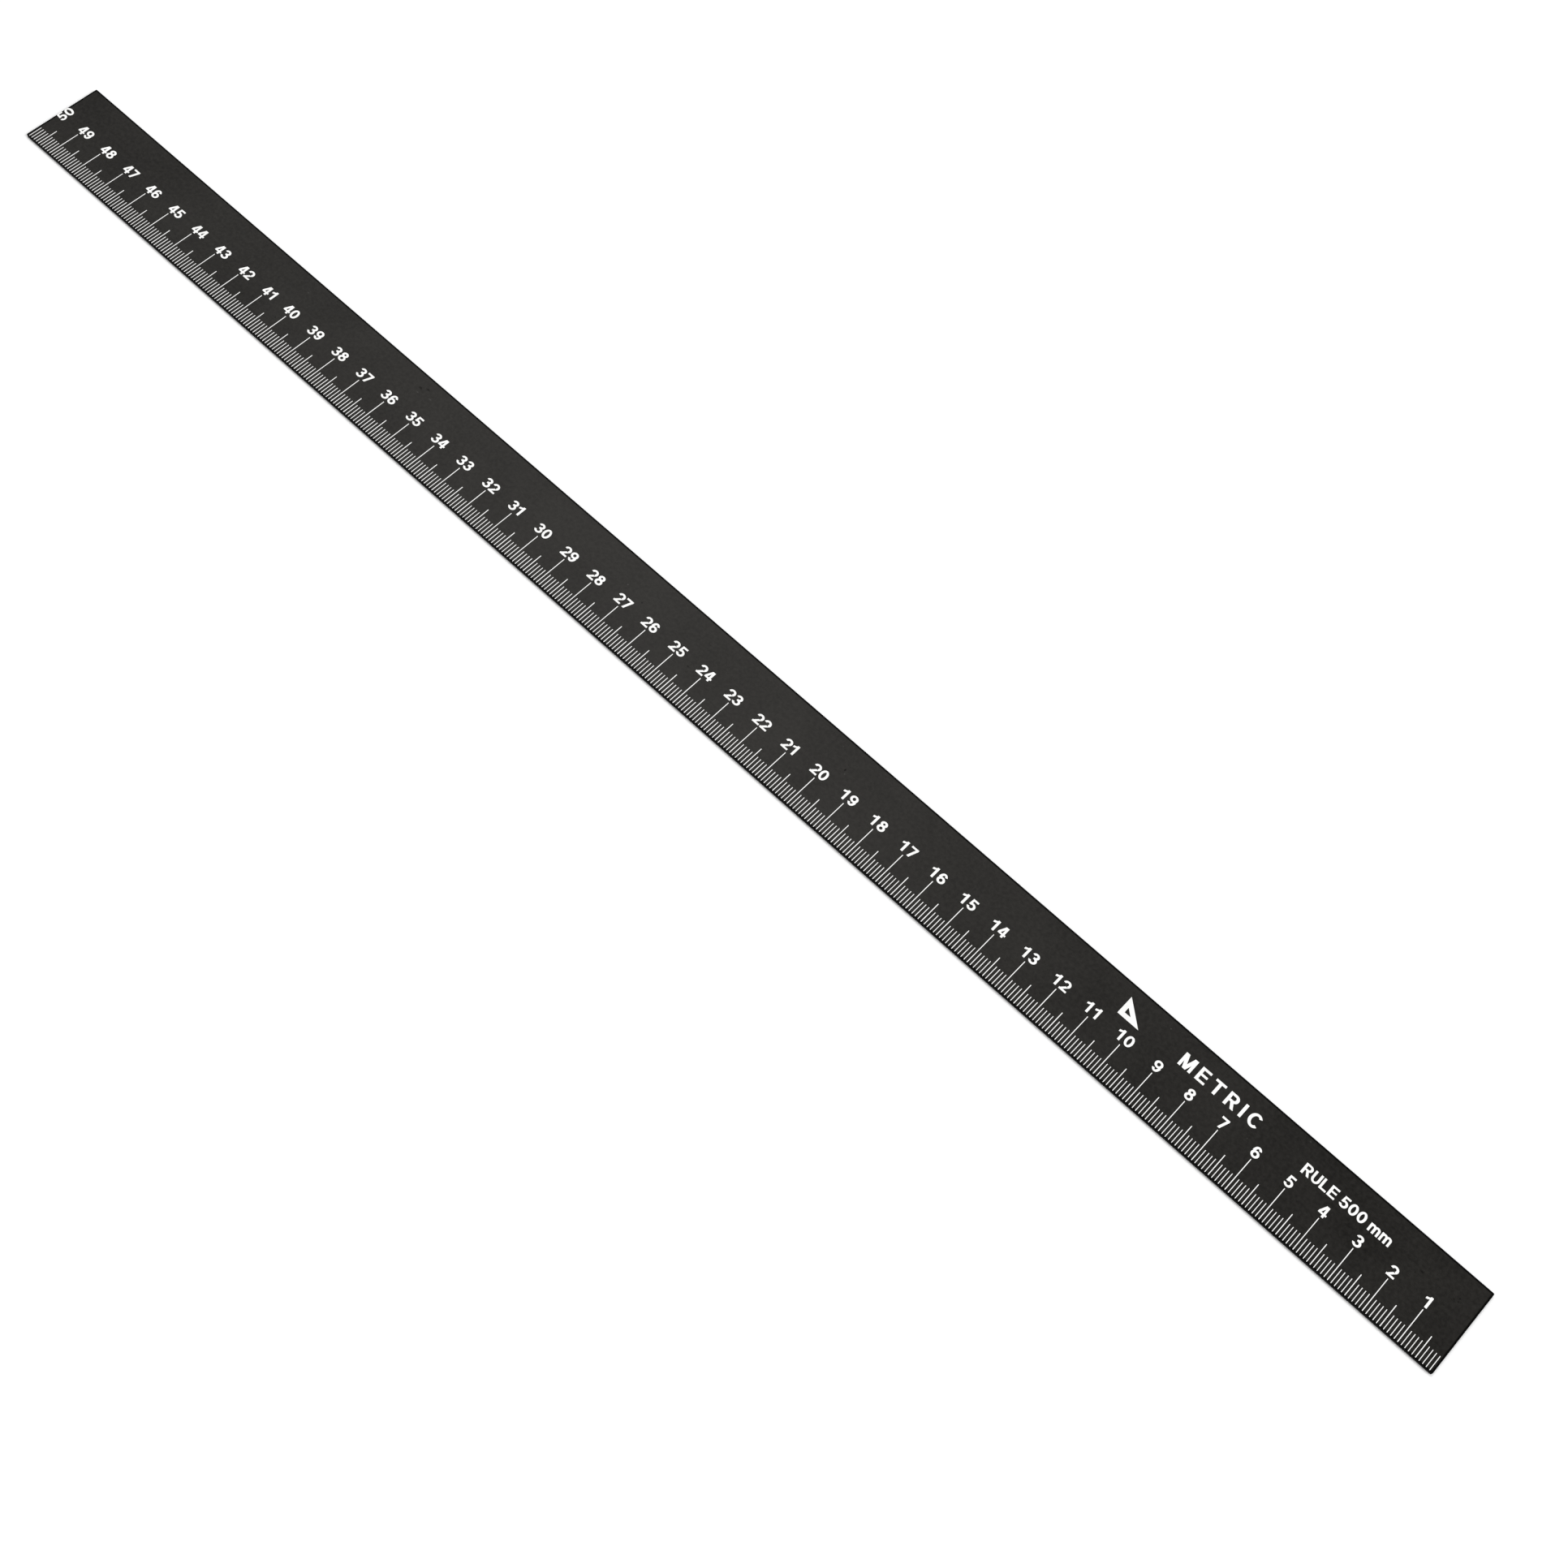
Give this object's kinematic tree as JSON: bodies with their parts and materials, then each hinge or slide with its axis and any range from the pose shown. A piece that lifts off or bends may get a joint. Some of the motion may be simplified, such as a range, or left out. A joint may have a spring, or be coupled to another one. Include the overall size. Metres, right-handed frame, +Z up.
{
  "type": "steel ruler",
  "caption": "Flat black-coated steel ruler with square corners and white printed graduations along one long edge.",
  "frame": {"origin": "middle of the underside, on the surface that the ruler lies on", "axes": "+X along the ruler towards its zero end, +Y across it from the graduated edge to the plain back edge, +Z up, out of the printed face"},
  "size_m": [0.5, 0.025, 0.001],
  "materials": {
    "steel": "rolled, hidden under the coat",
    "black_coat": "satin black",
    "white_ink": "matt white print"
  },
  "bodies": {
    "root": {"steel_blade": "steel", "back_coat": "black_coat", "edge_coat": "black_coat", "front_coat": "black_coat", "centimetre_line_01": "white_ink", "centimetre_line_02": "white_ink", "centimetre_line_03": "white_ink", "centimetre_line_04": "white_ink", "centimetre_line_05": "white_ink", "centimetre_line_06": "white_ink", "centimetre_line_07": "white_ink", "centimetre_line_08": "white_ink", "centimetre_line_09": "white_ink", "centimetre_line_10": "white_ink", "centimetre_line_11": "white_ink", "centimetre_line_12": "white_ink", "centimetre_line_13": "white_ink", "centimetre_line_14": "white_ink", "centimetre_line_15": "white_ink", "centimetre_line_16": "white_ink", "centimetre_line_17": "white_ink", "centimetre_line_18": "white_ink", "centimetre_line_19": "white_ink", "centimetre_line_20": "white_ink", "centimetre_line_21": "white_ink", "centimetre_line_22": "white_ink", "centimetre_line_23": "white_ink", "centimetre_line_24": "white_ink", "centimetre_line_25": "white_ink", "centimetre_line_26": "white_ink", "centimetre_line_27": "white_ink", "centimetre_line_28": "white_ink", "centimetre_line_29": "white_ink", "centimetre_line_30": "white_ink", "centimetre_line_31": "white_ink", "centimetre_line_32": "white_ink", "centimetre_line_33": "white_ink", "centimetre_line_34": "white_ink", "centimetre_line_35": "white_ink", "centimetre_line_36": "white_ink", "centimetre_line_37": "white_ink", "centimetre_line_38": "white_ink", "centimetre_line_39": "white_ink", "centimetre_line_40": "white_ink", "centimetre_line_41": "white_ink", "centimetre_line_42": "white_ink", "centimetre_line_43": "white_ink", "centimetre_line_44": "white_ink", "centimetre_line_45": "white_ink", "centimetre_line_46": "white_ink", "centimetre_line_47": "white_ink", "centimetre_line_48": "white_ink", "centimetre_line_49": "white_ink"}
  },
  "joints": []
}
